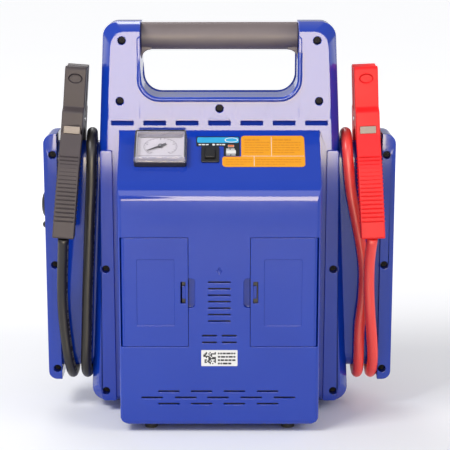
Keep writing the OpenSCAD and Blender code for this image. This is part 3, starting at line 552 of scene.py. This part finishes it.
def frameBand(x0, y0, x1, y1, widths):
    # a closed band as four mitred strips: widths are left, bottom, right, top
    a, b, c, d = widths
    return [[(x0, y0), (x0 + a, y0 + b), (x0 + a, y1 - d), (x0, y1)],
            [(x0, y0), (x1, y0), (x1 - c, y0 + b), (x0 + a, y0 + b)],
            [(x1, y0), (x1, y1), (x1 - c, y1 - d), (x1 - c, y0 + b)],
            [(x0, y1), (x0 + a, y1 - d), (x1 - c, y1 - d), (x1, y1)]]


# under the cover: a white mask round the dial, a pale rim, a grey strip along the top and a fine line
# near the foot
underCover = {"inset": 2.5, "mask": (3, 5.5, 3, 4.6), "maskAt": (6.6, 1.2), "rim": (0.5, 0.5, 0.5, 0.5),
              "rimAt": (7.8, 3.4), "strip": (3.2, 7.4, 3.4, 0.4), "stripAt": (7.8, 0.2),
              "line": (5, 7.4, 7.8), "lineAt": (7.8, 0.1)}
u0, u1 = meter["u"]
v0, v1 = meter["v"]
inset = underCover["inset"]
for name, part in (("meterMask", "mask"), ("meterRim", "rim")):
    printed(name, frameBand(u0 + inset, v0 + inset, u1 - inset, v1 - inset, underCover[part]),
            *underCover[part + "At"], cardWhite)
sideGap, stripLow, stripHigh, corner = underCover["strip"]
printed("coverStrip", [roundedRect(u0 + sideGap, v1 - stripLow, u1 - sideGap, v1 - stripHigh, corner)],
        *underCover["stripAt"],
        film("printedStripGrey", {"colour": "#77727a", "second": "#85808a", "mottleMm": 6, "rough": 0.4}))
sideGap, lineLow, lineHigh = underCover["line"]
printed("coverLine", [[(u0 + sideGap, v0 + lineLow), (u1 - sideGap, v0 + lineLow),
                       (u1 - sideGap, v0 + lineHigh), (u0 + sideGap, v0 + lineHigh)]],
        *underCover["lineAt"], inkGrey)

dress("control_label", filmDark)
dress("instruction_label", filmYellow)
dress("id_label", filmWhite)
labelTop = 0.25  # mm, a label's own thickness
inkThick = 0.06  # mm, drawn thicker than real ink so that it shows
lampLens = film("castResinLens", {"colour": "#e6e4e0", "second": "#f0eeea", "mottleMm": 3, "rough": 0.15})
dress("indicator_leds", lampLens)
printed("upperLamp", [roundedRect(9, -24.8, 15, -22.2, 0.5)], 0.8, inkThick,
        film("castResinOrange", {"colour": "#d8632a", "second": "#e57a3e", "mottleMm": 3, "rough": 0.15}))
printed("controlBand", [roundedRect(-23, -18.4, 20, -10.4, 1.5)], labelTop, inkThick, filmCyan)
badge = {"at": (12.4, -14.4), "outer": (7, 3.5), "inner": (6, 2.7), "step": 10}
printed("controlOval", [ovalOutline(*badge["at"], *badge["outer"], badge["step"])],
        labelTop + inkThick, inkThick, filmWhite)
printed("controlOvalFill", [ovalOutline(*badge["at"], *badge["inner"], badge["step"])],
        labelTop + 2 * inkThick, inkThick, filmCyan)


bars = {"shortest": 1.6, "longest": 5.2, "gap": 0.7, "least": 1.5, "lastLine": 0.6}


def textBars(x0, x1, yTop, lines, pitch, high, seed):
    # rows of short bars that stand for lines of small print; the last row stops early
    rows = []
    dice = random.Random(seed)
    for i in range(lines):
        y = yTop - i * pitch
        x = x0
        while x < x1 - bars["least"]:
            w = min(dice.uniform(bars["shortest"], bars["longest"]), x1 - x)
            if i == lines - 1 and x > x0 + (x1 - x0) * bars["lastLine"]:
                break
            rows.append([(x, y - high), (x + w, y - high), (x + w, y), (x, y)])
            x += w + bars["gap"]
    return rows


# blocks of small print: from, to, top, lines, pitch, height and seed
controlRows = [(-21.5, -9, -20.2, 1, 3, 1.7, 3), (-3, 8, -20.2, 1, 3, 1.7, 4),
               (7, 18, -27, 1, 3, 1.3, 5), (7, 18, -35.6, 1, 3, 0.9, 6)]
instructionRows = [(26, 52, -13, 1, 3, 2.2, 21), (26, 52, -17.5, 5, 3.6, 1.3, 22),
                   (55.5, 84, -13, 1, 3, 2.2, 23), (55.5, 84, -17.5, 5, 3.6, 1.3, 24),
                   (6.5, 34, -42, 3, 3.4, 1.2, 25), (37.5, 84, -42, 3, 3.4, 1.2, 26)]
dot = ovalOutline(-6, -21.1, 1.5, 1.5, 20)
printed("controlPrint", [bar for row in controlRows for bar in textBars(*row)] + [dot],
        labelTop, inkThick, filmWhite)
printed("instructionPrint", [bar for row in instructionRows for bar in textBars(*row)],
        labelTop, inkThick, filmOrange)
printed("instructionLines", [[(23.5, -37.9), (87, -37.9), (87, -37.5), (23.5, -37.5)],
                             [(53.6, -37.5), (54, -37.5), (54, -9.5), (53.6, -9.5)],
                             [(35.5, -52), (35.9, -52), (35.9, -38), (35.5, -38)]],
        labelTop, inkThick, filmWhite)
# the small label on the front: a patch of random squares and four lines of print
front = Matrix.Translation((0, -0.098, 0)) @ Matrix.Rotation(math.radians(90), 4, "X")
patch = {"from": (-16.6, 74.6), "cells": 10, "cell": 1.3, "filled": 0.5, "seed": 5}
cells = []
cell = patch["cell"]
dice = random.Random(patch["seed"])
for i in range(patch["cells"]):
    for j in range(patch["cells"]):
        if dice.random() < patch["filled"]:
            x = patch["from"][0] + i * cell
            y = patch["from"][1] + j * cell
            cells.append([(x, y), (x + cell, y), (x + cell, y + cell), (x, y + cell)])
printed("idPrint", cells + textBars(-1.5, 16.5, 87, 4, 3.6, 1.8, 31),
        labelTop, inkThick, filmDark, place=front)

# the rounded lip that runs round the hand opening, on the front and on the rear
lip = {"x": 83.4, "z": 340.6, "top": 389.0, "corner": 21.4, "y": 30.6, "radius": 2.5, "sides": 16,
       "cornerSteps": 12}
lipLine = [(-lip["x"], lip["top"])]
for side in (-1, 1):
    for i in range(lip["cornerSteps"] + 1):
        a = math.radians((180 if side < 0 else 270) + 90 * i / lip["cornerSteps"])
        lipLine.append((side * (lip["x"] - lip["corner"]) + lip["corner"] * math.cos(a),
                        lip["z"] + lip["corner"] + lip["corner"] * math.sin(a)))
lipLine.append((lip["x"], lip["top"]))
for name, y in (("frontLip", -lip["y"]), ("rearLip", lip["y"])):
    bead = [Vector((x, y, z)) * mm for x, z in lipLine]
    mesh = tubeMesh(name, bead, lip["radius"] * mm, lip["sides"])[0]
    lipObject = makeObject(name, mesh, absBlue)
    finishMesh(lipObject)
    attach(lipObject, "case")
print("labels and meter made")

# blind backs of the moulded slots in the frame, front and rear, in the darker blue that is painted shade
slotBack = {"pitch": 33.8, "eachSide": 3, "size": (25, 6.4), "corner": 0.5, "z": 315.8, "depth": 27.6,
            "thick": 0.8}
halfX = slotBack["size"][0] / 2
halfZ = slotBack["size"][1] / 2
backs = [roundedRect(i * slotBack["pitch"] - halfX, slotBack["z"] - halfZ,
                     i * slotBack["pitch"] + halfX, slotBack["z"] + halfZ, slotBack["corner"])
         for i in range(-slotBack["eachSide"], slotBack["eachSide"] + 1)]
for name, turn in (("frontSlotBacks", 0), ("rearSlotBacks", 180)):
    upright = Matrix.Rotation(math.radians(turn), 4, "Z") @ Matrix.Rotation(math.radians(90), 4, "X")
    printed(name, backs, slotBack["depth"], slotBack["thick"], absBluePaintedShade, place=upright)

print("slot backs made")


def domeMesh(name, x, y, z, radius, tall, steps, sides):
    # a low dome that stands out to the left from a flat face, in mm
    bm = bmesh.new()
    rings = []
    for k in range(steps):
        lift = math.radians(90 * k / steps)
        turns = [math.radians(360 * j / sides) for j in range(sides)]
        rings.append([bm.verts.new(Vector((
            x - tall * math.sin(lift),
            y + radius * math.cos(lift) * math.cos(a),
            z + radius * math.cos(lift) * math.sin(a))) * mm) for a in turns])
    tip = bm.verts.new(Vector((x - tall, y, z)) * mm)
    for low, high in zip(rings, rings[1:]):
        for j in range(sides):
            i = (j + 1) % sides
            bm.faces.new((low[j], low[i], high[i], high[j]))
    for j in range(sides):
        bm.faces.new((rings[-1][j], rings[-1][(j + 1) % sides], tip))
    bm.faces.new(list(reversed(rings[0])))
    bmesh.ops.recalc_face_normals(bm, faces=bm.faces)
    mesh = bpy.data.meshes.new(name)
    bm.to_mesh(mesh)
    bm.free()
    return mesh


# low round cover and a small stud on the outer face of the left wing: height, radius and how far each
# stands out
sideCover = {"x": -186, "y": -6, "steps": 6, "sides": 48,
             "pieces": {"sideCover": (225, 14, 4.6), "sideStud": (202.5, 4, 4.4)}}
for name, (z, radius, tall) in sideCover["pieces"].items():
    mesh = domeMesh(name, sideCover["x"], sideCover["y"], z, radius, tall,
                    sideCover["steps"], sideCover["sides"])
    obj = makeObject(name, mesh, nylonBlack)
    finishMesh(obj)
    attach(obj, "case")
print("side cover made")


pivotZ = 0.317  # metres, height of both clamp pivots


def clampPlace(x, leanDeg):
    return Matrix.Translation((x, 0, pivotZ)) @ Matrix.Rotation(math.radians(leanDeg), 4, "Y")


clamps = {
    "black": {"width": 22.5, "place": clampPlace(-0.1542, 4.3), "material": clampBlack},
    "red": {"width": 25.0, "place": clampPlace(0.1554, -2.4), "material": clampRed}}
# the handle's outer face, from above the ribs to below them, in mm from the pivot: y, z
ribRun = {"from": (-36.5, -36), "mid": (-46, -66), "to": (-55.5, -101), "ribs": 17, "d": 1.7}


def handleFace(t):
    a, b, c = Vector(ribRun["from"]), Vector(ribRun["mid"]), Vector(ribRun["to"])
    return (1 - t) ** 2 * a + 2 * t * (1 - t) * b + t * t * c


def ribbing(name, clamp, mirror):
    # raised ribs that wrap round the outside of the handle, one bar with turned ends each
    bm = bmesh.new()
    half = clamp["width"] / 2
    for i in range(ribRun["ribs"]):
        t = i / (ribRun["ribs"] - 1)
        y, z = handleFace(t)
        ahead = handleFace(min(1, t + 0.02)) - handleFace(max(0, t - 0.02))
        across = Vector((0, -ahead.y, ahead.x)).normalized()
        inward = Vector((0, abs(across.y), across.z if across.y > 0 else -across.z))
        path = [Vector((-half, y, z)) + inward * 9, Vector((-half, y, z)) + inward * 2,
                Vector((-half + 2, y, z)), Vector((half - 2, y, z)),
                Vector((half, y, z)) + inward * 2, Vector((half, y, z)) + inward * 9]
        along = Vector((0, ahead.x, ahead.y)).normalized() * ribRun["d"] / 2
        rows = []
        for k, point in enumerate(path):
            out = (Vector((0, -inward.y, -inward.z)) if k in (2, 3) else
                   Vector((-1 if k < 2 else 1, 0, 0)) if k in (0, 5) else
                   Vector((-0.7 if k < 2 else 0.7, -inward.y * 0.7, -inward.z * 0.7))) * 1.1
            rows.append([bm.verts.new((point + o) * mm) for o in
                         (-along - out, -along * 0.9 + out * 0.4, out, along * 0.9 + out * 0.4, along - out)])
        for a, b in zip(rows, rows[1:]):
            for k in range(5):
                bm.faces.new((a[k], a[(k + 1) % 5], b[(k + 1) % 5], b[k]))
        bm.faces.new(list(reversed(rows[0])))
        bm.faces.new(rows[-1])
    if mirror:
        bmesh.ops.scale(bm, vec=(1, -1, 1), verts=bm.verts)
    bmesh.ops.recalc_face_normals(bm, faces=bm.faces)
    mesh = bpy.data.meshes.new(name)
    bm.to_mesh(mesh)
    bm.free()
    mesh.transform(clamp["place"])
    obj = makeObject(name, mesh, clamp["material"])
    finishMesh(obj)
    return obj


for colour, clamp in clamps.items():
    parts = []
    for side in ("front", "rear"):
        node = f"{colour}_{side}_lever"
        lever = easedCopy(node, clamp["material"], 1.1, segments=3)
        ribs = ribbing(f"{colour}{side.capitalize()}Ribs", clamp, side == "rear")
        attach(ribs, frame["nodes"][node]["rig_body"])
        parts += [lever, ribs]
print("clamps made")

for colour, obj, line, length in (
        ("black", blackLead, blackLine, blackLength), ("red", redLead, redLine, redLength)):
    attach(obj, "case")
    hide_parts(f"{colour}_lead")
print("leads attached to the case")

# plain pale floor with painted light: an emission that grows toward the back, so that it meets the white
# surround
floorMaterial, floorTree, floorShader = newMaterial("paintedFloor")
floorPlace = addNode(floorTree, "TexCoord").outputs["Object"]
floorTone = addNode(floorTree, "TexNoise", Vector=floorPlace, Scale=3.0, Detail=2.0)
floorMix = addNode(floorTree, "MixRGB", i0=floorTone.outputs["Fac"],
                   i1=linear("#f4f4f5"), i2=linear("#f8f8f8"))
floorAway = addNode(floorTree, "SeparateXYZ", Vector=addNode(floorTree, "NewGeometry").outputs["Position"])
floorGlow = addNode(floorTree, "MapRange", Value=floorAway.outputs["Y"], i1=0.25, i2=1.4, i3=0.0, i4=0.5)
setShader(floorShader, floorTree, Base_Color=floorMix.outputs["Color"], Roughness=0.8,
          Emission_Color=linear("#ffffff"), Emission_Strength=floorGlow.outputs["Result"])
bpy.ops.mesh.primitive_plane_add(size=30, location=(0, 6, 0))
floor = bpy.context.object
floor.name = "floor"
floor.data.materials.append(floorMaterial)


def softbox(name, place, target, size, power):
    data = bpy.data.lights.new(name, "AREA")
    data.shape = "RECTANGLE"
    data.size, data.size_y = size
    data.energy = power
    obj = bpy.data.objects.new(name, data)
    bpy.context.scene.collection.objects.link(obj)
    obj.location = place
    obj.rotation_euler = (Vector(target) - Vector(place)).to_track_quat("-Z", "Y").to_euler()


for row in (
        ("keyLight", (-1.1, -0.9, 1.75), (0, 0, 0.2), (0.9, 0.6), 24),
        ("fillLight", (1.6, -0.8, 1.2), (0, 0, 0.2), (1.0, 1.0), 9),
        ("rimLight", (-0.6, 1.4, 1.4), (0, 0, 0.25), (1.2, 0.6), 10)):
    softbox(*row)

# bright cards in front, seen only in reflections: the low one silvers the upright face of the handle frame,
# the upper one draws the soft band along the pod's rounded edge
for card in (
        {"name": "frontCard", "y": -1.2, "z": (0.072, 0.45), "half": 0.3, "strength": 14.5,
         "colour": "#ffeecb"},
        {"name": "upperCard", "y": -1.2, "z": (0.5, 1.2), "half": 0.8, "strength": 3.0,
         "colour": "#f4f2ff"}):
    cardMaterial, cardTree, cardShader = newMaterial(card["name"] + "Glow")
    setShader(cardShader, cardTree, Base_Color=linear("#000000"), Emission_Color=linear(card["colour"]),
              Emission_Strength=card["strength"])
    z0, z1 = card["z"]
    cardMesh = bpy.data.meshes.new(card["name"])
    corners = ((-1, z0), (1, z0), (1, z1), (-1, z1))
    cardMesh.from_pydata([(k * card["half"], card["y"], z) for k, z in corners], [], [(0, 1, 2, 3)])
    cardObject = makeObject(card["name"], cardMesh, cardMaterial)
    for ray in ("camera", "diffuse", "transmission", "shadow", "volume_scatter"):
        setattr(cardObject, "visible_" + ray, False)

world = bpy.data.worlds.new("studio")
world.use_nodes = True
world.node_tree.nodes["Background"].inputs["Color"].default_value = linear("#f4f5f8")
world.node_tree.nodes["Background"].inputs["Strength"].default_value = 0.55
bpy.context.scene.world = world
bpy.context.scene.view_settings.view_transform = "Standard"
print("stage and lights made")
